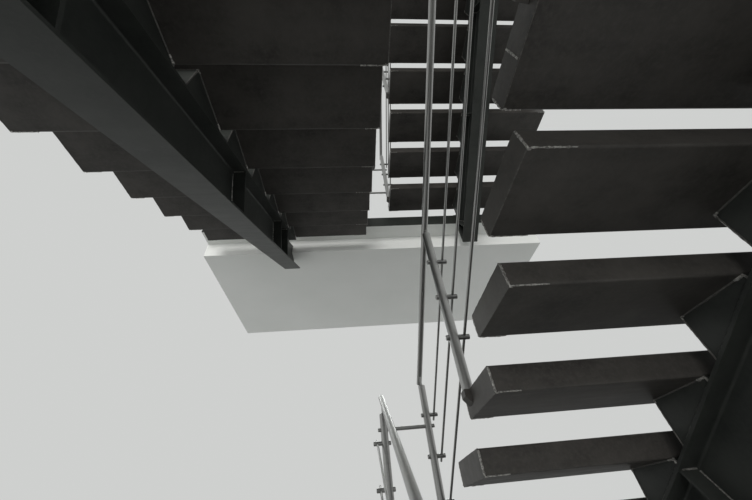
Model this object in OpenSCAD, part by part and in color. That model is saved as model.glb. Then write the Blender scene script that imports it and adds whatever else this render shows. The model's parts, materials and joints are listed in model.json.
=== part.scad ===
// Fire escape stair: two flights a storey, one steel beam under each flight

/* [Flights] */
// Height of one step
rise = 171; // [150:1:190]
// Depth of one step from nosing to nosing
going = 300; // [260:1:320]
// Width of a flight
flight_w = 1490; // [1000:5:1800]
// Open width between the two rows of flights
well_w = 262; // [150:2:500]

/* [Treads] */
// Thickness of a closed box tread
tread_t = 82; // [60:1:100]
// Gap seen from above between one tread and the next
tread_gap = 8; // [4:1:20]
// Radius of the treads' long edges
tread_r = 7; // [3:1:15]

/* [Beams] */
// Height of the rolled beam
beam_h = 254; // [200:2:360]
// Width of the beam's flanges
beam_w = 146; // [100:2:200]
// Thickness of the beam's web
beam_web = 7; // [5:0.5:12]
// Thickness of the beam's flanges
beam_flange = 11; // [8:0.5:18]
// Radius between web and flange
beam_root = 8; // [5:1:15]
// Upright distance from the treads' lower back edges to the beam
beam_drop = 18; // [10:1:40]
// How far a beam runs on below the landing it carries
beam_reach = 115; // [40:5:200]

/* [Brackets] */
// Plate thickness of the wedge brackets
bracket_t = 10; // [6:1:15]
// Width over the side plates of a bracket
bracket_w = 132; // [90:2:146]
// Distance from the nosing back to the bracket's front plate
bracket_back = 60; // [40:5:120]

/* [Landings] */
// Depth of a landing from its front edge to the wall
landing_d = 1755; // [1200:5:2400]
// How far a landing runs past the flights on each side
landing_side = 104; // [0:2:200]
// Thickness of the main slab
slab_t = 279; // [200:1:350]
// Thickness of the front ledge
ledge_t = 118; // [80:1:160]
// Depth of the front ledge
ledge_d = 177; // [100:1:300]
// Thickness of the steel edge strip
strip_t = 8; // [5:1:15]
// How much further the first landing reaches towards the foot than the others
first_reach = 300; // [0:300:300]

/* [Balustrade] */
// Upright distance from the pitch line to the handrail's axis
rail_up = 830; // [800:5:1000]
// Diameter of the handrail
rail_d = 34; // [30:1:50]
// Diameter of the posts
post_d = 42; // [34:1:50]
// Least height of a post above the step it stands on
post_h = 820; // [750:5:850]
// Diameter of the thin rods
rod_d = 12; // [8:1:14]
// Distance from the post's axis to the rods' axis
rod_out = 45; // [35:1:60]

/* [Base plate] */
// Width of the base plate
base_w = 260; // [200:5:400]
// Length of the base plate
base_l = 740; // [600:5:900]
// Thickness of the base plate
base_t = 20; // [15:1:30]
// Diameter of the anchor holes
anchor_d = 22; // [18:1:30]

/* [Hidden] */
$fn = 32;

tread_count = 7;
slope = atan(rise / going);
grade = rise / going;
flight_rise = (tread_count + 1) * rise;
span = tread_count * going + tread_gap;
tread_d = going - tread_gap;
flight_x = well_w / 2 + flight_w / 2;
landing_x = well_w / 2 + flight_w + landing_side;

// upright heights along one flight, measured from its lower landing
function pitch_z(y) = rise + grade * (y - tread_gap);
function beam_top_z(y) = rise - tread_t - grade * going - beam_drop + grade * y;
beam_up = beam_h / cos(slope);

// the foot of the first flight is centred on the origin
foot_y = 430 - first_reach;
anchor_dx = 200;
anchor_dy = 680;

// posts of the first flight, of those that climb back and of the third
post_x = well_w / 2;
first_post_y = [60, 1130, 1993 + first_reach];
back_post_y = [115, 965, 2048];
third_post_y = [60, 1035, 1993];
last_post_h = 900;
stem_max = 90;
lug_out = 22;
lug_w = 46;
lug_h = 48;
stem_d = 12;

// rods, and the holders that carry them on the posts
rod_up = [180, 380, 590];
rod_past = 35;
rail_past = 60;
first_rail_past = 15;
pin_d = 22;
pin_past = 20;
pin_back = 10;

// bars across the well
well_bar_d = 20;
well_bar_past = 13;
low_bar_up = [250, 763];
near_bar_up = [310, 676];
high_bar_up = [270, 705];

// beam ends
end_plate_t = 12;
stiff_t = 10;
stiff_at = [950, 1655, 1855];
cope_y = span - 8;
beam_end_y = span + ledge_d + beam_reach;

// guard on the top landing
guard_h = 900;
guard_up = [210, 420, 630];
guard_bays = 3;
guard_y = 60;
guard_x0 = post_x;
guard_x1 = landing_x - 70;

steel = [0.30, 0.29, 0.28];
dark = [0.17, 0.18, 0.18];
stainless = [0.66, 0.67, 0.68];
plaster = [0.85, 0.86, 0.83];

// Frames

// everything is drawn about the middle of the well, then set over the foot
module in_place() {
  translate([flight_x, -foot_y, 0]) children();
}

// flight n drawn along its own run, which turns round at every landing
module at_flight(n) {
  if (n % 2 == 0) {
    translate([0, n == 0 ? -first_reach : 0, n * flight_rise]) children();
  } else {
    translate([0, span, n * flight_rise]) rotate([0, 0, 180]) children();
  }
}

// the landing above flight n, with its front edge along y = 0
module at_landing(n) {
  at_flight(n) translate([0, span, flight_rise]) children();
}

// tilts an upright extrusion so that it climbs with the flight
module along_pitch(y0, y1, z0) {
  length = (y1 - y0) / cos(slope);
  translate([0, y0, z0])
    rotate([90 + slope, 0, 0])
      translate([0, 0, -length])
        linear_extrude(length) children();
}

// Treads

// rectangle with its corners turned by short arcs
function corner(cx, cy, r, a0) =
  [for (i = [0:4]) [cx + r * cos(a0 + 22.5 * i), cy + r * sin(a0 + 22.5 * i)]];

function rounded(w, h, r) = concat(
  corner(w - r, h - r, r, 0),
  corner(r, h - r, r, 90),
  corner(r, r, r, 180),
  corner(w - r, r, r, 270)
);

module tread(i) {
  translate([-flight_x - flight_w / 2, going * i + tread_gap, rise * (i + 1) - tread_t])
    rotate([90, 0, 90])
      linear_extrude(flight_w) polygon(rounded(tread_d, tread_t, tread_r));
}

// lug on a tread's end, under the outer half of a post
module lug(y) {
  translate([-well_w / 2 - 1, y + lug_w / 2, tread_z(y)])
    rotate([90, 0, 0])
      linear_extrude(lug_w) polygon([
        [0, 0],
        [lug_out + 1, 0],
        [lug_out + 1, -lug_h / 2],
        [3, -lug_h],
        [0, -lug_h]
      ]);
}

module flight_treads(n) {
  color(steel)
    in_place() at_flight(n) {
      for (i = [0:tread_count - 1]) tread(i);
      for (y = own_post_y(n)) {
        if (y < span) lug(y);
      }
    }
}

// Beams

// rolled section with filleted roots, its top edge on y = 0
module beam_section() {
  translate([0, -beam_h / 2])
    difference() {
      square([beam_w, beam_h], center = true);
      for (s = [-1, 1]) {
        translate([s * (beam_web / 2 + beam_w / 2), 0])
          beam_recess();
      }
    }
}

// the hollow on one side of the web, with round corners
module beam_recess() {
  w = beam_w / 2;
  h = beam_h / 2 - beam_flange;
  r = beam_root;
  square([2 * w, 2 * (h - r)], center = true);
  square([2 * (w - r), 2 * h], center = true);
  for (sx = [-1, 1], sy = [-1, 1]) {
    translate([sx * (w - r), sy * (h - r)]) circle(r);
  }
}

// the same section without its top flange
module coped_section() {
  cut = beam_flange + beam_root;
  difference() {
    beam_section();
    translate([-beam_w, -cut]) square([2 * beam_w, 2 * cut]);
  }
}

module beam_bar(y0, y1) {
  translate([-flight_x, 0, 0])
    along_pitch(y0, cope_y, beam_top_z(y0)) beam_section();
  translate([-flight_x, 0, 0])
    along_pitch(cope_y - 1, y1, beam_top_z(cope_y - 1)) coped_section();
}

// stiffener plates on both sides of the web, square to the flanges
module beam_stiffener(y) {
  w = (beam_w - beam_web) / 2 - 6;
  h = beam_h - 2 * beam_flange;
  z = beam_top_z(y) - beam_up / 2;
  for (s = [-1, 1]) {
    translate([-flight_x + s * (beam_web / 2 + w / 2 - 0.5), y, z])
      rotate([slope, 0, 0])
        cube([w + 1, stiff_t, h + 1], center = true);
  }
}

// room for the landing's slab, which rests on the coped end
module landing_room() {
  big = 4000;
  translate([-big, span + ledge_d, flight_rise - slab_t])
    cube([big, big, big]);
}

// plate that closes a beam where it meets a landing's edge strip
module foot_end_plate(y0) {
  low = beam_top_z(y0) - beam_up;
  top = max(beam_top_z(y0 + end_plate_t) + 4, -8);
  translate([-flight_x - beam_w / 2, y0, low])
    cube([beam_w, end_plate_t, top - low]);
}

module beam_body(y0) {
  difference() {
    union() {
      beam_bar(-400, beam_end_y + 400);
      for (y = concat([y0 + 70], stiff_at)) beam_stiffener(y);
    }
    landing_room();
    translate([-flight_x - 500, beam_end_y, -3000]) cube([1000, 3000, 6000]);
  }
}

// the beams of the upper flights stand against the landing below
module flight_beam(n) {
  y0 = n == 1 ? first_reach : 0;
  color(dark)
    in_place() at_flight(n)
      difference() {
        union() {
          beam_body(y0);
          foot_end_plate(y0);
        }
        translate([-flight_x - 500, y0 - 3000, -3000]) cube([1000, 3000, 6000]);
      }
}

// the lowest beam is cut level on the base plate
module ground_beam() {
  color(dark)
    in_place() at_flight(0)
      difference() {
        beam_body(0);
        translate([-flight_x - 500, -3000, base_t - 3000]) cube([1000, 6000, 3000]);
      }
}

// Brackets

// height a bracket comes down to: the beam, or the landing under the second flight's first step
function bracket_foot(n, y) = n == 1 && y <= first_reach ? 0 : beam_top_z(y);

// side view of one wedge bracket, from the tread down to its foot
function wedge(n, y0, y1, z) = [
  [y0, bracket_foot(n, y0)],
  [y1, bracket_foot(n, y1)],
  [y1, z],
  [y0, z]
];

module bracket(n, i) {
  y0 = going * i + tread_gap + bracket_back;
  y1 = going * (i + 1);
  z = rise * (i + 1) - tread_t;
  for (s = [-1, 1]) {
    translate([-flight_x + s * (bracket_w - bracket_t) / 2 - bracket_t / 2, 0, 0])
      rotate([90, 0, 90])
        linear_extrude(bracket_t) polygon(wedge(n, y0, y1, z));
  }
  translate([-flight_x - bracket_w / 2, 0, 0])
    rotate([90, 0, 90])
      linear_extrude(bracket_w) polygon(wedge(n, y0, y0 + bracket_t, z));
  translate([-flight_x - bracket_w / 2, 0, 0])
    rotate([90, 0, 90])
      linear_extrude(bracket_w) polygon(wedge(n, y1 - bracket_t, y1, z));
}

module flight_brackets(n) {
  color(dark)
    in_place() at_flight(n)
      difference() {
        for (i = [0:tread_count - 1]) bracket(n, i);
        if (n == 0) {
          translate([-flight_x - 500, -500, base_t - 3000]) cube([1000, 3000, 3000]);
        }
      }
}

// Base plate

module base_plate() {
  color(dark)
    difference() {
      translate([-base_w / 2, -base_l / 2, 0]) cube([base_w, base_l, base_t]);
      for (sx = [-1, 1], sy = [-1, 1]) {
        translate([sx * anchor_dx / 2, sy * anchor_dy / 2, -1])
          cylinder(h = base_t + 2, d = anchor_d);
      }
    }
}

// Landings

module landing_slab(n) {
  depth = landing_d + (n == 0 ? first_reach : 0);
  color(plaster)
    in_place() at_landing(n)
      union() {
        translate([-landing_x, strip_t, -ledge_t])
          cube([2 * landing_x, ledge_d - strip_t + 1, ledge_t]);
        translate([-landing_x, ledge_d, -slab_t])
          cube([2 * landing_x, depth - ledge_d, slab_t]);
      }
}

module landing_edge(n) {
  color(dark)
    in_place() at_landing(n)
      translate([-landing_x, 0, -ledge_t])
        cube([2 * landing_x, strip_t, ledge_t]);
}

// Balustrade

// where the posts of flight n stand along its run
function own_post_y(n) = n % 2 == 1 ? back_post_y : n == 0 ? first_post_y : third_post_y;

// tread surface under a point of the flight
function tread_z(y) = rise * (floor((y - tread_gap) / going) + 1);

// the last post of an upper flight ends just below the handrail
function own_post_h(n, i, rail_h) =
  n > 0 && i == 2 ? last_post_h : max(post_h, rail_h - stem_max);

module rail_bar(d, x, up, y0, y1) {
  translate([x, 0, 0])
    along_pitch(y0, y1, pitch_z(y0) + up) circle(d = d);
}

module handrail_bar(n) {
  ys = own_post_y(n);
  past = n == 0 ? first_rail_past : rail_past;
  rail_bar(rail_d, -post_x, rail_up, ys[0] - rail_past, ys[2] + past);
}

module rod_bars(n) {
  ys = own_post_y(n);
  for (up = rod_up) {
    rail_bar(rod_d, -post_x - rod_out, up, ys[0] - rod_past, ys[2] + rod_past);
  }
}

// post with the thin stem that carries the handrail and a holder for every rod
module post(n, i) {
  y = own_post_y(n)[i];
  z = tread_z(y);
  rail_h = pitch_z(y) + rail_up - z;
  translate([-post_x, y, z]) {
    cylinder(h = own_post_h(n, i, rail_h), d = post_d);
    cylinder(h = rail_h, d = stem_d);
  }
  for (up = rod_up) {
    translate([-post_x + post_d / 2 + pin_back, y, pitch_z(y) + up])
      rotate([0, -90, 0])
        cylinder(h = post_d / 2 + pin_back + rod_out + pin_past, d = pin_d);
  }
}

module flight_posts(n) {
  color(stainless)
    in_place()
      difference() {
        at_flight(n)
          for (i = [0:2]) post(n, i);
        at_flight(n) {
          handrail_bar(n);
          rod_bars(n);
        }
        well_bar_set();
      }
}

module flight_handrail(n) {
  color(stainless)
    in_place() at_flight(n) handrail_bar(n);
}

module flight_rods(n) {
  color(stainless)
    in_place() at_flight(n) rod_bars(n);
}

// Bars across the well

// bar through the two end posts that face each other across the well
module well_bar(y, z) {
  length = 2 * post_x + post_d + 2 * well_bar_past;
  translate([-length / 2, y, z]) rotate([0, 90, 0])
    cylinder(h = length, d = well_bar_d);
}

module well_bar_set() {
  for (up = low_bar_up) well_bar(span - back_post_y[0], flight_rise + up);
  for (up = near_bar_up) well_bar(span - back_post_y[2], 2 * flight_rise + up);
  for (up = high_bar_up) well_bar(span - back_post_y[0], 3 * flight_rise + up);
}

module well_bars() {
  color(stainless)
    in_place() well_bar_set();
}

// Guard of the top landing

module guard_post(x) {
  translate([x, guard_y, 0]) {
    cylinder(h = post_h, d = post_d);
    cylinder(h = guard_h, d = stem_d);
    cylinder(h = 8, d = 90);
    for (up = guard_up) {
      translate([0, -post_d / 2 - pin_back, up]) rotate([-90, 0, 0])
        cylinder(h = post_d / 2 + pin_back + rod_out + pin_past, d = pin_d);
    }
  }
}

module guard_rail_bar() {
  translate([guard_x0 - rail_past, guard_y, guard_h])
    rotate([0, 90, 0])
      cylinder(h = guard_x1 - guard_x0 + 2 * rail_past, d = rail_d);
}

module guard_rod_bars() {
  for (up = guard_up) {
    translate([guard_x0 - rod_past, guard_y + rod_out, up])
      rotate([0, 90, 0])
        cylinder(h = guard_x1 - guard_x0 + 2 * rod_past, d = rod_d);
  }
}

module top_guard_posts() {
  color(stainless)
    in_place() at_landing(3)
      difference() {
        for (i = [0:guard_bays])
          guard_post(guard_x0 + (guard_x1 - guard_x0) * i / guard_bays);
        guard_rail_bar();
        guard_rod_bars();
      }
}

module top_guard_rail() {
  color(stainless)
    in_place() at_landing(3) guard_rail_bar();
}

module top_guard_rods() {
  color(stainless)
    in_place() at_landing(3) guard_rod_bars();
}

// assembly

base_plate();
ground_beam();  // first_flight_beam
flight_brackets(0);  // first_flight_brackets
flight_treads(0);  // first_flight_treads
flight_posts(0);  // first_flight_posts
flight_handrail(0);  // first_flight_handrail
flight_rods(0);  // first_flight_rods
flight_beam(1);  // second_flight_beam
flight_brackets(1);  // second_flight_brackets
flight_treads(1);  // second_flight_treads
flight_posts(1);  // second_flight_posts
flight_handrail(1);  // second_flight_handrail
flight_rods(1);  // second_flight_rods
flight_beam(2);  // third_flight_beam
flight_brackets(2);  // third_flight_brackets
flight_treads(2);  // third_flight_treads
flight_posts(2);  // third_flight_posts
flight_handrail(2);  // third_flight_handrail
flight_rods(2);  // third_flight_rods
flight_beam(3);  // fourth_flight_beam
flight_brackets(3);  // fourth_flight_brackets
flight_treads(3);  // fourth_flight_treads
flight_posts(3);  // fourth_flight_posts
flight_handrail(3);  // fourth_flight_handrail
flight_rods(3);  // fourth_flight_rods
landing_slab(0);  // first_landing_slab
landing_edge(0);  // first_landing_edge
landing_slab(1);  // second_landing_slab
landing_edge(1);  // second_landing_edge
landing_slab(2);  // third_landing_slab
landing_edge(2);  // third_landing_edge
landing_slab(3);  // top_landing_slab
landing_edge(3);  // top_landing_edge
well_bars();
top_guard_posts();
top_guard_rail();
top_guard_rods();
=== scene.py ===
import json
import math
import random
import bpy
from mathutils import Matrix, Vector


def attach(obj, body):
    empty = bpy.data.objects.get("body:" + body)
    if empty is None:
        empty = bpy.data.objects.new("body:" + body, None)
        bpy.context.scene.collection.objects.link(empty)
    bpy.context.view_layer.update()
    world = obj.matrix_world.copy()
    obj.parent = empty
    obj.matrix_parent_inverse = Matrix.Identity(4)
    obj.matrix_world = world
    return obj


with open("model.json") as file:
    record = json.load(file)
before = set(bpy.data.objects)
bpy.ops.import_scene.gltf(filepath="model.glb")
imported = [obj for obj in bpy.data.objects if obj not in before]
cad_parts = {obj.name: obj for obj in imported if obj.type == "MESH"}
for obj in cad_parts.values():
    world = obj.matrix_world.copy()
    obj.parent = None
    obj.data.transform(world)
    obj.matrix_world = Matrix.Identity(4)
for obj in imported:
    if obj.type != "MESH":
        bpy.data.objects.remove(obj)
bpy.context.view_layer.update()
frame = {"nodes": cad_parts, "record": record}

nodes = frame["nodes"]
rng = random.Random(7)
UP = Vector((0, 0, 1))

# All measures are in metres. A flight's own run has x from the middle of the well, y along the
# flight from the edge of the landing below it, and z from the top of that landing.
FLIGHTS = ("first", "second", "third", "fourth")
TREADS = 7
RISE, GOING, SPAN = 0.171, 0.300, 2.108
FLIGHT_RISE = (TREADS + 1) * RISE
GRADE = RISE / GOING
SLOPE = math.atan(GRADE)

# Flights: middle of a flight, half its width, half the well, the first beam's foot, and how much
# further than the others the first landing reaches
FLIGHT_X, HALF_W, WELL = 0.876, 0.745, 0.131
FOOT_Y, REACH = 0.130, 0.300

# Treads: thickness, space between one tread and the next in plan, and where the second flight's
# top tread has a seam across its end
TREAD_T, GAP = 0.082, 0.008
END_SEAM_Y = 0.120

# Beams: depth, how far they lie below the treads, and their web stiffeners at the foot of each
# flight and further up. Heights of the beads are from the middle of the beam, and distances out
# from the middle of its web.
BEAM_H, BEAM_DROP = 0.254, 0.018
STIFFENERS_LOW = ((), (REACH + 0.070,), (0.070,), (0.070,))
STIFFENERS_HIGH = (0.950, 1.655, 1.855)
STIFFENER_HALF_T = 0.0055
FLANGE_BEAD, WEB_BEAD = 0.1150, 0.105
WEB_OUT, ROOT_OUT, STIFFENER_OUT = 0.0036, 0.006, 0.060

# Brackets: half their width, and how far they stand back from a tread's front edge. The first one
# stands on the base plate as far as the beam's flange.
BRACKET_X, BRACKET_BACK = 0.066, 0.060
PLATE_T, PLATE_BEAD_UP, PLATE_BEAD_END = 0.020, 0.0005, 0.2105

# Posts, for each flight along its run, and the thin stems that carry the handrail
POST_X, POST_R = WELL, 0.021
POST_H, LAST_POST_H, STEM_MAX = 0.820, 0.900, 0.090
POSTS = (
    (0.060, 1.130, 2.293),
    (0.115, 0.965, 2.048),
    (0.060, 1.035, 1.993),
    (0.115, 0.965, 2.048),
)
RAIL_UP, RAIL_R = 0.830, 0.017
RAIL_PAST, FIRST_RAIL_PAST = 0.060, 0.015

# Rods above the pitch line, and the holders that carry them on the posts
RODS = (0.180, 0.380, 0.590)
ROD_OUT, ROD_R, ROD_PAST = 0.045, 0.006, 0.035
HOLDER_R, HOLDER_PAST, HOLDER_BACK = 0.011, 0.020, 0.010
SCREW_ACROSS, SCREW_H, SCREW_SUNK = 0.006, 0.0022, 0.0006

# Bars across the well: flight, place along y, and heights above that flight's landing
WELL_BARS = (
    (1, 1.993, (0.250, 0.763)),
    (2, 0.060, (0.310, 0.676)),
    (3, 1.993, (0.270, 0.705)),
)
WELL_BAR_HALF, WELL_BAR_R = 0.165, 0.010

# Anchors of the base plate
ANCHOR_X, ANCHOR_Y = 0.100, 0.340
NUT_UP, NUT_ACROSS, NUT_H = 0.003, 0.030, 0.016

# Profiles of turned pieces, as pairs of distance along the axis and radius
RAIL_CAP = ((0, RAIL_R), (0.0015, RAIL_R), (0.0035, 0.0156), (0.0048, 0.0105), (0.0053, 0.0030))
LANDING_ROSETTE = ((0, 0.0450), (0.0050, 0.0450), (0.0065, 0.0435), (0.0065, 0.0215))
FOOT_RING = ((0, 0.0222), (0.0010, 0.0221), (0.0022, 0.0212))
POST_CAP = ((0, POST_R), (0.0012, 0.0206), (0.0026, 0.0190), (0.0030, 0.0075))
STEM_COLLAR = ((0, 0.0064), (0.0010, 0.0085), (0.0080, 0.0085))
WASHER = ((0, 0.0180), (0.0028, 0.0180), (0.0034, 0.0172))
ANCHOR_END = ((0, 0.0100), (0.030, 0.0100), (0.032, 0.0085))

# The same for a domed end, with the radius as a share of the bar's
DOME = ((0, 1), (0.0016, 0.94), (0.0028, 0.68), (0.0033, 0.17))

# How deep a cap sits on its bar, and how far below the handrail a collar starts
CAP_SUNK, COLLAR_LOW = 0.0005, 0.0060

# Weld beads, as radius, sides, share by which the radius wobbles, and length of one ripple
FINE_SEAM = (0.0016, 5, 0.45, 0.011)
CORNER_BEAD = (0.0035, 7, 0.30, 0.0060)
THIN_BEAD = (0.0022, 6, 0.45, 0.0070)
END_FACE_BEAD = (0.0032, 7, 0.30, 0.0060)
TACK = (0.0050, 7, 0.35, 0.0060)
SMALL_TACK = (0.0040, 7, 0.35, 0.0060)
BRACKET_TOP_BEAD = (0.0032, 6, 0.18, 0.008)
BRACKET_FOOT_BEAD = (0.0036, 6, 0.18, 0.008)
BRACKET_FRONT_BEAD = (0.0030, 6, 0.18, 0.008)
STIFFENER_BEAD = (0.0034, 6, 0.3, 0.008)

# Edges that turn by more than this stay sharp, on solids and on the small pieces
SHARP_ON_SOLIDS, SHARP_ON_SMALL = math.radians(32), math.radians(40)


def place(n, x, y, z):
    """A point of flight n, from the flight's own run to the part's frame."""
    if n % 2:
        x, y = -x, SPAN - y
    elif n == 0:
        y -= REACH
    return Vector((x + FLIGHT_X, y - FOOT_Y, z + n * FLIGHT_RISE))


def run_of(n):
    """The direction in which flight n climbs."""
    return (place(n, 0, math.cos(SLOPE), math.sin(SLOPE)) - place(n, 0, 0, 0)).normalized()


def across_of(n):
    """The direction from flight n to the well."""
    return place(n, 1, 0, 0) - place(n, 0, 0, 0)


def pitch(y):
    """Height of the line along the treads' front edges."""
    return RISE + GRADE * (y - GAP)


def beam_top(y):
    """Height of the beam's upper face."""
    return RISE - TREAD_T - GRADE * GOING - BEAM_DROP + GRADE * y


def step_z(y):
    """Height of the step or landing that a post at y stands on."""
    return RISE * (math.floor((y - GAP) / GOING) + 1)


def post_top(n, i):
    """Height of post i of flight n."""
    y = POSTS[n][i]
    if n and i == 2:
        return step_z(y) + LAST_POST_H
    return max(step_z(y) + POST_H, pitch(y) + RAIL_UP - STEM_MAX)


def make_camera():
    """The view steeply up from the foot of the stair, turned and tilted in radians."""
    yaw, tilt, roll = 0.1043, 0.7363, -0.1105
    eye = (0.6003, -0.1742, 1.6925)
    sensor_mm, lens_mm, nearest = 36, 14.854, 0.02
    ahead = Vector((math.sin(yaw) * math.cos(tilt), math.cos(yaw) * math.cos(tilt), math.sin(tilt)))
    level = Vector((math.cos(yaw), -math.sin(yaw), 0))
    over = level.cross(ahead)
    right = level * math.cos(roll) + over * math.sin(roll)
    up = over * math.cos(roll) - level * math.sin(roll)
    data = bpy.data.cameras.new("camera")
    data.sensor_width = sensor_mm
    data.lens = lens_mm
    data.clip_start = nearest
    camera = bpy.data.objects.new("camera", data)
    turn = Matrix((right, up, -ahead)).transposed().to_4x4()
    camera.matrix_world = Matrix.Translation(eye) @ turn
    bpy.context.scene.collection.objects.link(camera)
    bpy.context.scene.camera = camera


class Mat:
    """A Principled material, and the nodes that its looks are made of."""

    def __init__(self, name, rough, metal=0.0):
        self.mat = bpy.data.materials.new(name)
        self.mat.use_nodes = True
        self.tree = self.mat.node_tree
        self.shader = self.tree.nodes["Principled BSDF"]
        self.shader.inputs["Roughness"].default_value = rough
        self.shader.inputs["Metallic"].default_value = metal
        self.coord = self.tree.nodes.new("ShaderNodeTexCoord")

    def add(self, kind, values):
        """A new node with its inputs set."""
        node = self.tree.nodes.new(kind)
        for socket, value in values.items():
            node.inputs[socket].default_value = value
        return node

    def link(self, source, target):
        self.tree.links.new(source, target)

    def noise(self, scale, detail=3.0, rough=0.5, stretch=None, turn=None):
        """Noise on the piece's own coordinates, which are turned before they are stretched."""
        at = self.coord.outputs["Object"]
        for socket, value in (("Rotation", turn), ("Scale", stretch)):
            if value is not None:
                mapping = self.add("ShaderNodeMapping", {socket: value})
                self.link(at, mapping.inputs["Vector"])
                at = mapping.outputs["Vector"]
        noise = self.add("ShaderNodeTexNoise", {"Scale": scale, "Detail": detail, "Roughness": rough})
        self.link(at, noise.inputs["Vector"])
        return noise.outputs["Fac"]

    def mix(self, share, first, second):
        """The first colour running into the second, each three numbers or a socket."""
        mix = self.tree.nodes.new("ShaderNodeMix")
        mix.data_type = "RGBA"
        share_in, first_in, second_in = (mix.inputs[i] for i in (0, 6, 7))
        self.link(share, share_in)
        for socket, colour in ((first_in, first), (second_in, second)):
            if isinstance(colour, tuple):
                socket.default_value = (*colour, 1)
            else:
                self.link(colour, socket)
        return mix.outputs[2]

    def span(self, value, low, high, start=0.3, end=0.7):
        """The value, spread from the range start to end over the range low to high."""
        spread = self.add("ShaderNodeMapRange", {
            "From Min": start, "From Max": end, "To Min": low, "To Max": high})
        self.link(value, spread.inputs["Value"])
        return spread.outputs["Result"]

    def facing_up(self, start=0.6, end=0.95):
        """One on level upper faces, and nothing on sides and undersides."""
        geometry = self.tree.nodes.new("ShaderNodeNewGeometry")
        parts = self.tree.nodes.new("ShaderNodeSeparateXYZ")
        self.link(geometry.outputs["Normal"], parts.inputs["Vector"])
        return self.span(parts.outputs["Z"], 0.0, 1.0, start, end)

    def times(self, first, second):
        product = self.tree.nodes.new("ShaderNodeMath")
        product.operation = "MULTIPLY"
        self.link(first, product.inputs[0])
        self.link(second, product.inputs[1])
        return product.outputs[0]

    def color(self, colour):
        self.link(colour, self.shader.inputs["Base Color"])

    def rough(self, value):
        self.link(value, self.shader.inputs["Roughness"])

    def bump(self, layers):
        """Small relief from several layers of height, strength and distance."""
        last = None
        for height, strength, distance in layers:
            bump = self.add("ShaderNodeBump", {"Strength": strength, "Distance": distance})
            self.link(height, bump.inputs["Height"])
            if last is not None:
                self.link(last, bump.inputs["Normal"])
            last = bump.outputs["Normal"]
        self.link(last, self.shader.inputs["Normal"])


def painted_steel(name, low, high, dust):
    """Dark paint, set darker than its own colour as painted shade, brushed on along the piece, with
    some dust on its upper faces.
    """
    m = Mat(name, 0.45)
    blotch = m.noise(4.5, 7.0, 0.68)
    fine = m.noise(75.0, 5.0, 0.7)
    streak = m.noise(1.0, 4.0, 0.6, stretch=(5.0, 34.0, 34.0))
    peel = m.noise(420.0, 2.0, 0.5)
    base = m.mix(m.span(blotch, 0.0, 1.0), low, high)
    base = m.mix(m.span(streak, 0.0, 0.45, 0.40, 0.75), base, high)
    base = m.mix(m.span(fine, 0.0, 0.60, 0.46, 0.70), base, high)
    up = m.times(m.facing_up(), m.span(m.noise(9.0, 5.0, 0.65), 0.15, 0.75))
    m.color(m.mix(up, base, dust))
    m.rough(m.span(streak, 0.40, 0.50))
    m.bump([(blotch, 0.12, 0.004), (streak, 0.02, 0.001), (peel, 0.08, 0.0003)])
    m.shader.inputs["Specular IOR Level"].default_value = 0.22
    return m.mat


def stainless(name, stretch, turn=None):
    """Satin ground steel, with the grinding marks across the piece's length. Its colour is set darker
    than the steel's own, as painted shade for the dark sides of the tubes.
    """
    m = Mat(name, 0.36, 1.0)
    grain = m.noise(1.0, 2.0, 0.5, stretch, turn)
    cloud = m.noise(5.0, 3.0, 0.5)
    # These greys are darker than bare stainless: painted shade.
    base = m.mix(m.span(grain, 0.0, 1.0), (0.34, 0.34, 0.335), (0.42, 0.42, 0.41))
    m.color(m.mix(m.span(cloud, 0.0, 0.30), base, (0.31, 0.31, 0.30)))
    m.rough(m.span(grain, 0.30, 0.38))
    return m.mat


def weld_metal(name, low, high, metal):
    """The rippled metal of a bead, painted over, or lighter and more metallic as a painted highlight.
    """
    m = Mat(name, 0.45, metal)
    ripple = m.noise(150.0, 3.0, 0.6)
    m.color(m.mix(m.span(ripple, 0.0, 1.0, 0.38, 0.62), low, high))
    m.rough(m.span(m.noise(90.0, 3.0, 0.5), 0.35, 0.6))
    m.bump([(ripple, 0.25, 0.0008)])
    return m.mat


def plaster(name):
    """White plaster on the sides and the underside, and bare concrete on top."""
    m = Mat(name, 0.85)
    cloud = m.noise(1.3, 4.0, 0.55)
    roller = m.noise(170.0, 4.0, 0.6)
    trowel = m.noise(1.0, 3.0, 0.5, stretch=(3.0, 9.0, 9.0))
    wall = m.mix(m.span(cloud, 0.0, 1.0), (0.82, 0.835, 0.81), (0.87, 0.88, 0.86))
    grit = m.span(m.noise(55.0, 5.0, 0.7), 0.0, 1.0, 0.35, 0.65)
    stone = m.mix(grit, (0.30, 0.30, 0.29), (0.42, 0.42, 0.40))
    m.color(m.mix(m.facing_up(0.5, 0.6), wall, stone))
    m.bump([(trowel, 0.10, 0.004), (roller, 0.12, 0.0006)])
    return m.mat


def floor_paint(name):
    """The plain pale floor."""
    m = Mat(name, 0.9)
    m.color(m.mix(m.span(m.noise(0.6, 2.0), 0.0, 1.0), (0.68, 0.68, 0.67), (0.70, 0.70, 0.69)))
    return m.mat


# Dark and light colour of each paint, and the colour of the dust on it. Both paints are set darker
# than their own colour, as painted shade that matches the shaded undersides.
MATS = {
    "dark_steel": painted_steel(
        "dark_paint_and_painted_shade", (0.022, 0.025, 0.023), (0.044, 0.047, 0.043), (0.14, 0.14, 0.13)),
    "tread_steel": painted_steel(
        "tread_paint_and_painted_shade", (0.030, 0.0285, 0.0265), (0.078, 0.073, 0.067), (0.14, 0.135, 0.125)),
    "white_plaster": plaster("plaster"),
}

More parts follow.
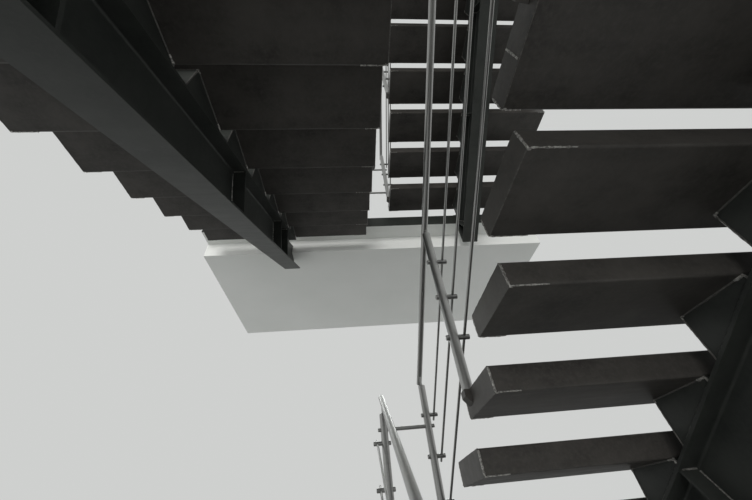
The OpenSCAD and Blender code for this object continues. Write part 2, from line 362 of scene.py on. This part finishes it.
# Stainless steel by the way that its piece runs: the marks lie close together along the piece and
# reach far round it
FINE, LONG = 500.0, 6.0
TUBE_UP = stainless("stainless_upright", (LONG, LONG, FINE))
TUBE_EVEN = stainless("stainless_even", (LONG, FINE, LONG), (-SLOPE, 0, 0))
TUBE_ODD = stainless("stainless_odd", (LONG, FINE, LONG), (SLOPE, 0, 0))
TUBE_ACROSS = stainless("stainless_across", (FINE, LONG, LONG))
WELD_DARK = weld_metal("weld_painted", (0.075, 0.072, 0.068), (0.13, 0.125, 0.115), 0.3)
# The light bead colour is a painted highlight: the beads are the same steel, coloured as bright as
# their glints.
WELD_BRIGHT = weld_metal("weld_painted_highlight", (0.14, 0.135, 0.127), (0.52, 0.51, 0.48), 0.6)


def sharpen_flats(mesh):
    """Marks the edges where a broad flat runs into a narrow round, so that the flat stays flat."""
    least_turn, much_larger = 0.05, 6
    sides = {}
    for face in mesh.polygons:
        for key in face.edge_keys:
            sides.setdefault(key, []).append(face)
    for edge in mesh.edges:
        pair = sides.get(edge.key, ())
        if len(pair) != 2:
            continue
        a, b = pair
        turn = a.normal.angle(b.normal, 0.0)
        if turn > least_turn and max(a.area, b.area) > much_larger * min(a.area, b.area):
            edge.use_edge_sharp = True


def dress(node, mat):
    """Gives a solid its material and smooth rounds."""
    mesh = nodes[node].data
    mesh.materials.clear()
    mesh.materials.append(mat)
    for face in mesh.polygons:
        face.use_smooth = True
        face.material_index = 0
    mesh.set_sharp_from_angle(angle=SHARP_ON_SOLIDS)


def tube_of(node):
    """The stainless steel whose grinding marks run round this piece."""
    if "posts" in node:
        return TUBE_UP
    if node == "well_bars" or "guard" in node:
        return TUBE_ACROSS
    return TUBE_EVEN if node.startswith(("first", "third")) else TUBE_ODD


def dress_solids():
    """Gives every solid the material of its slot."""
    for subpart in frame["record"]["subparts"]:
        node, slot = subpart["node"], subpart["material_slot"]
        if slot == "stainless":
            dress(node, tube_of(node))
        else:
            dress(node, MATS[slot])
            sharpen_flats(nodes[node].data)


def square_to(axis, guess, other, least):
    """A direction square to the axis, from a guess or, where that runs along the axis, another."""
    side = axis.cross(Vector(guess))
    if side.length < least:
        side = axis.cross(Vector(other))
    return side.normalized()


def circle(middle, side, up, radius, sides):
    """Points round a middle, in the plane of the two directions side and up."""
    angles = (2 * math.pi * k / sides for k in range(sides))
    return [middle + (side * math.cos(a) + up * math.sin(a)) * radius for a in angles]


class Bag:
    """Gathers many small shapes into one mesh."""

    def __init__(self):
        self.points, self.faces = [], []

    def tube(self, rings):
        """Joins rings of points into a tube with closed ends."""
        n, start = len(rings[0]), len(self.points)
        for ring in rings:
            self.points.extend(ring)
        last = start + (len(rings) - 1) * n
        for low in range(start, last, n):
            high = low + n
            for k in range(n):
                m = (k + 1) % n
                self.faces.append((low + k, low + m, high + m, high + k))
        self.faces.append(tuple(start + k for k in reversed(range(n))))
        self.faces.append(tuple(last + k for k in range(n)))

    def bead(self, path, radius, sides, wobble, step):
        """A weld bead: a rippled tube along straight stretches between the points."""
        points = []
        for a, b in zip(path, path[1:]):
            count = max(1, int(round((b - a).length / step)))
            points.extend(a.lerp(b, k / count) for k in range(count))
        points.append(path[-1])
        rings = []
        for i, point in enumerate(points):
            along = (points[min(i + 1, len(points) - 1)] - points[max(i - 1, 0)]).normalized()
            side = square_to(along, (0.31, 0.17, 0.93), (0.9, 0.3, 0.1), 0.2)
            ripple = radius * (1 + wobble * (rng.random() - 0.5) * 2)
            rings.append(circle(point, side, side.cross(along), ripple, sides))
        self.tube(rings)

    def lathe(self, at, axis, profile, sides=16):
        """A turned piece, from pairs of distance along the axis and radius."""
        axis = axis.normalized()
        side = square_to(axis, (0.3, 0.9, 0.2), (0.9, 0.1, 0.3), 0.3)
        up = axis.cross(side)
        self.tube([circle(at + axis * d, side, up, r, sides) for d, r in profile])

    def dome(self, at, out, radius, sides=16):
        """A slightly domed end on a round bar."""
        out = out.normalized()
        self.lathe(at - out * CAP_SUNK, out, [(d, share * radius) for d, share in DOME], sides)

    def hexagon(self, at, axis, across, height):
        """A nut or the head of a screw, with its corners turned down."""
        r = across / math.sqrt(3)
        edge = height * 0.12
        profile = [(0, r * 0.93), (edge, r), (height - edge, r), (height, r * 0.88)]
        self.lathe(at, axis, profile, sides=6)

    def build(self, name, mat, slot):
        """Makes one piece of all that the bag holds."""
        mesh = bpy.data.meshes.new(name)
        mesh.from_pydata([tuple(p) for p in self.points], [], self.faces)
        mesh.validate()
        mesh.update()
        mesh.materials.append(mat)
        for face in mesh.polygons:
            face.use_smooth = True
        mesh.set_sharp_from_angle(angle=SHARP_ON_SMALL)
        piece = bpy.data.objects.new(name, mesh)
        bpy.context.scene.collection.objects.link(piece)
        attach(piece, "root")


def end_plate_seams(bag, at, y0, y1, low, top):
    """Fine seams along both long edges of a tread's end plate."""
    depth, short = 0.0016, 0.006
    for z in (low, top):
        bag.bead([at(depth, y0 + short, z), at(depth, y1 - short, z)], *FINE_SEAM)


def end_plate_corner(bag, at, y, side, low, top):
    """A thick uneven bead down a corner of the end plate, which runs on thinly below the tread."""
    short, under = 0.006, low + 0.0012
    edge, turned, thin = y + side * 0.0014, y + side * 0.0050, y + side * 0.0022
    bag.bead([at(0.0020, edge, top - short), at(0.0020, edge, low + short),
              at(0.0040, turned, under), at(0.0110, turned, under)], *CORNER_BEAD)
    reach = rng.uniform(0.05, 0.13)
    bag.bead([at(0.0100, thin, under), at(reach, thin, under)], *THIN_BEAD)


def end_face_seam(bag, n):
    """A bead down the end face of a flight's top tread."""
    short, deep = 0.004, 0.001
    y = GOING * (TREADS - 1) + GAP + END_SEAM_Y
    top = TREADS * RISE
    bag.bead([place(n, -WELL - deep, y, top - short),
              place(n, -WELL - deep, y, top - TREAD_T + short)], *END_FACE_BEAD)


def tread_welds():
    """The end plates of a tread are welded in all round and ground off. The light colour of the
    corner beads is a painted highlight.
    """
    for n, word in enumerate(FLIGHTS):
        seams, corners = Bag(), Bag()
        for i in range(TREADS):
            y0, y1 = GOING * i + GAP, GOING * (i + 1)
            top = RISE * (i + 1)
            low = top - TREAD_T
            for x, out in ((-WELL, 1), (-FLIGHT_X - HALF_W, -1)):
                def at(depth, y, z):
                    return place(n, x - out * depth, y, z)
                end_plate_seams(seams, at, y0, y1, low, top)
                end_plate_corner(corners, at, y0, 1, low, top)
                end_plate_corner(corners, at, y1, -1, low, top)
        if n == 1:
            end_face_seam(corners, n)
        seams.build(word + "_flight_tread_seams", WELD_DARK, "tread_steel")
        # The corner beads and the end face seam take the light bead colour, a painted highlight.
        corners.build(word + "_flight_tread_welds", WELD_BRIGHT, "tread_steel")


def bracket_line(n, y0, y1):
    """The line along which a bracket's side stands on the beam, the base plate or the landing."""
    lift = 0.001
    if n == 0 and y0 < PLATE_BEAD_END:
        z = PLATE_T + PLATE_BEAD_UP
        return [(y0, z), (PLATE_BEAD_END, z), (y1, beam_top(y1) + lift)]
    if n == 1 and y0 < REACH:
        return [(y0, lift), (y1, lift)]
    return [(y0, beam_top(y0) + lift), (y1, beam_top(y1) + lift)]


def bracket_tacks(bag, at, y0, y1, z):
    """Lumps where a bracket's side meets the tread, the beam and its own front, coloured light as a
    painted highlight.
    """
    under, length, short = z - 0.001, 0.012, 0.004
    bag.bead([at(y1 - 0.030, under), at(y1 - short, under),
              at(y1 + 0.002, beam_top(y1) + 0.002)], *TACK)
    bag.bead([at(y0 + length, under), at(y0, under), at(y0, z - length)], *SMALL_TACK)


def bracket_seams(bag, at, line, y1, z):
    """Beads along the top, the foot and the front of a bracket's side."""
    under, short = z - 0.001, 0.004
    y0, foot = line[0]
    bag.bead([at(y0, under), at(y1 - short, under)], *BRACKET_TOP_BEAD)
    bag.bead([at(y, h) for y, h in line], *BRACKET_FOOT_BEAD)
    bag.bead([at(y0, z), at(y0, foot)], *BRACKET_FRONT_BEAD)


def bracket_welds():
    """Beads where the wedge brackets meet the treads and what they stand on."""
    for n, word in enumerate(FLIGHTS):
        seams, tacks = Bag(), Bag()
        for i in range(TREADS):
            y0, y1 = GOING * i + GAP + BRACKET_BACK, GOING * (i + 1)
            z = RISE * (i + 1) - TREAD_T
            line = bracket_line(n, y0, y1)
            for side in (-1, 1):
                def at(y, h):
                    return place(n, -FLIGHT_X + side * BRACKET_X, y, h)
                bracket_tacks(tacks, at, y0, y1, z)
                bracket_seams(seams, at, line, y1, z)
            seams.bead([place(n, -FLIGHT_X - BRACKET_X, y0, z - 0.001),
                        place(n, -FLIGHT_X + BRACKET_X, y0, z - 0.001)], *BRACKET_TOP_BEAD)
        seams.build(word + "_flight_bracket_welds", WELD_DARK, "dark_steel")
        tacks.build(word + "_flight_bracket_tacks", WELD_BRIGHT, "dark_steel")


def rod_ends():
    """Domed tips on the rods and on their holders, with a grub screw in each holder."""
    for n, word in enumerate(FLIGHTS):
        bag = Bag()
        first, last = POSTS[n][0], POSTS[n][2]
        along, across = run_of(n), across_of(n)
        rod_x = -POST_X - ROD_OUT
        for up in RODS:
            for y, sign in ((first - ROD_PAST, -1), (last + ROD_PAST, 1)):
                bag.dome(place(n, rod_x, y, pitch(y) + up), along * sign, ROD_R, sides=12)
            for y in POSTS[n]:
                z = pitch(y) + up
                bag.dome(place(n, -POST_X + POST_R + HOLDER_BACK, y, z), across, HOLDER_R)
                bag.dome(place(n, rod_x - HOLDER_PAST, y, z), -across, HOLDER_R)
                screw = place(n, rod_x, y, z - HOLDER_R)
                bag.hexagon(screw + UP * SCREW_SUNK, -UP, SCREW_ACROSS, SCREW_H)
        bag.build(word + "_flight_rod_tips", TUBE_UP, "stainless")


def rail_caps(bag, n):
    """Closed ends of flight n's handrail."""
    first, last = POSTS[n][0], POSTS[n][2]
    past = RAIL_PAST if n else FIRST_RAIL_PAST
    for y, sign in ((first - RAIL_PAST, -1), (last + past, 1)):
        out = run_of(n) * sign
        bag.lathe(place(n, -POST_X, y, pitch(y) + RAIL_UP) - out * CAP_SUNK, out, RAIL_CAP, sides=28)


def post_fittings(bag, n, i):
    """A ring or rosette at a post's foot, a cap on its top and a collar where its stem ends."""
    y = POSTS[n][i]
    foot = place(n, -POST_X, y, step_z(y))
    if y > SPAN:
        bag.lathe(foot, UP, LANDING_ROSETTE, sides=40)
    else:
        bag.lathe(foot, UP, FOOT_RING, sides=28)
    top = place(n, -POST_X, y, post_top(n, i))
    bag.lathe(top - UP * CAP_SUNK, UP, POST_CAP, sides=28)
    under_rail = place(n, -POST_X, y, pitch(y) + RAIL_UP - RAIL_R)
    bag.lathe(under_rail - UP * COLLAR_LOW, UP, STEM_COLLAR, sides=20)


def rail_fittings():
    """Trim of the handrails and posts, one piece on each flight."""
    for n, word in enumerate(FLIGHTS):
        bag = Bag()
        rail_caps(bag, n)
        for i in range(len(POSTS[n])):
            post_fittings(bag, n, i)
        bag.build(word + "_flight_rail_fittings", TUBE_UP, "stainless")


def well_bar_ends():
    """Domed ends on the bars that cross the well."""
    bag = Bag()
    for n, y, heights in WELL_BARS:
        for z in heights:
            for side in (-1, 1):
                end = Vector((side * WELL_BAR_HALF + FLIGHT_X, y - FOOT_Y, n * FLIGHT_RISE + z))
                bag.dome(end, Vector((side, 0, 0)), WELL_BAR_R)
    bag.build("well_bar_ends", TUBE_UP, "stainless")


def anchors():
    """A washer, a nut and the threaded end of each anchor."""
    bag = Bag()
    for x in (-ANCHOR_X, ANCHOR_X):
        for y in (-ANCHOR_Y, ANCHOR_Y):
            at = Vector((x, y, PLATE_T))
            bag.lathe(at, UP, WASHER, sides=24)
            bag.hexagon(at + UP * NUT_UP, UP, NUT_ACROSS, NUT_H)
            bag.lathe(at, UP, ANCHOR_END)
    # The nuts take the same light colour that is a painted highlight on the beads.
    bag.build("anchor_nuts", WELD_BRIGHT, "dark_steel")


def stiffener_welds(bag, n, y):
    """Beads along the flanges and the web on both faces of a pair of stiffeners."""
    middle = beam_top(y) - BEAM_H / math.cos(SLOPE) / 2
    for side in (-1, 1):
        for d in (-STIFFENER_HALF_T, STIFFENER_HALF_T):
            def at(x, h):
                return place(n, -FLIGHT_X + side * x,
                             y - h * math.sin(SLOPE) + d * math.cos(SLOPE),
                             middle + h * math.cos(SLOPE) + d * math.sin(SLOPE))
            for h in (-FLANGE_BEAD, FLANGE_BEAD):
                bag.bead([at(ROOT_OUT, h), at(STIFFENER_OUT, h)], *STIFFENER_BEAD)
            bag.bead([at(WEB_OUT, -WEB_BEAD), at(WEB_OUT, WEB_BEAD)], *STIFFENER_BEAD)


def beam_welds():
    """Beads round the stiffeners of all four beams, coloured light as a painted highlight."""
    bag = Bag()
    for n, low in enumerate(STIFFENERS_LOW):
        for y in low + STIFFENERS_HIGH:
            stiffener_welds(bag, n, y)
    bag.build("beam_stiffener_welds", WELD_BRIGHT, "dark_steel")


def make_floor():
    half = 30
    corners = [(-half, -half, 0), (half, -half, 0), (half, half, 0), (-half, half, 0)]
    mesh = bpy.data.meshes.new("floor")
    mesh.from_pydata(corners, [], [(0, 1, 2, 3)])
    floor = bpy.data.objects.new("floor", mesh)
    mesh.materials.append(floor_paint("floor_pale"))
    bpy.context.scene.collection.objects.link(floor)


def background(tree, colour, strength):
    node = tree.nodes.new("ShaderNodeBackground")
    node.inputs["Color"].default_value = (*colour, 1)
    node.inputs["Strength"].default_value = strength
    return node.outputs[0]


def make_background():
    """A plain pale background to look at, and an even dimmer one that gives light."""
    world = bpy.data.worlds.new("studio")
    bpy.context.scene.world = world
    world.use_nodes = True
    tree = world.node_tree
    tree.nodes.clear()
    out = tree.nodes.new("ShaderNodeOutputWorld")
    shown = background(tree, (0.62, 0.63, 0.62), 1.0)
    light = background(tree, (0.95, 0.97, 1.0), 0.32)
    path = tree.nodes.new("ShaderNodeLightPath")
    seen = path.outputs["Is Camera Ray"]
    for kind in ("Is Glossy Ray", "Is Transmission Ray"):
        either = tree.nodes.new("ShaderNodeMath")
        either.operation = "MAXIMUM"
        tree.links.new(seen, either.inputs[0])
        tree.links.new(path.outputs[kind], either.inputs[1])
        seen = either.outputs[0]
    mix = tree.nodes.new("ShaderNodeMixShader")
    for source, socket in ((seen, "Fac"), (light, 1), (shown, 2)):
        tree.links.new(source, mix.inputs[socket])
    tree.links.new(mix.outputs[0], out.inputs["Surface"])


def sun(name, toward, strength, colour, soft, mirrored=False):
    """A broad even light; soft is its width in degrees, and only a mirrored one shows in metal."""
    data = bpy.data.lights.new(name, "SUN")
    data.energy = strength
    data.angle = math.radians(soft)
    data.color = colour
    light = bpy.data.objects.new(name, data)
    light.location = (0.9, 1.0, 9.0)
    light.rotation_euler = Vector(toward).to_track_quat("-Z", "Y").to_euler()
    light.visible_camera = False
    light.visible_glossy = mirrored
    bpy.context.scene.collection.objects.link(light)


def make_lights():
    """Soft light from the front, from the left and from above behind."""
    sun("near", toward=(0.22, 1.0, -0.24), strength=2.3, colour=(1.0, 0.99, 0.97), soft=40)
    sun("left", toward=(1.0, -0.1, -0.5), strength=0.35, colour=(0.96, 1.0, 0.98), soft=40)
    sun("far", toward=(-0.06, -0.80, -0.60), strength=1.0, colour=(0.97, 1.0, 0.98), soft=34,
        mirrored=True)


make_camera()
dress_solids()
tread_welds()
bracket_welds()
rod_ends()
rail_fittings()
well_bar_ends()
anchors()
beam_welds()
bpy.context.scene.view_settings.view_transform = "Standard"
make_floor()
make_background()
make_lights()
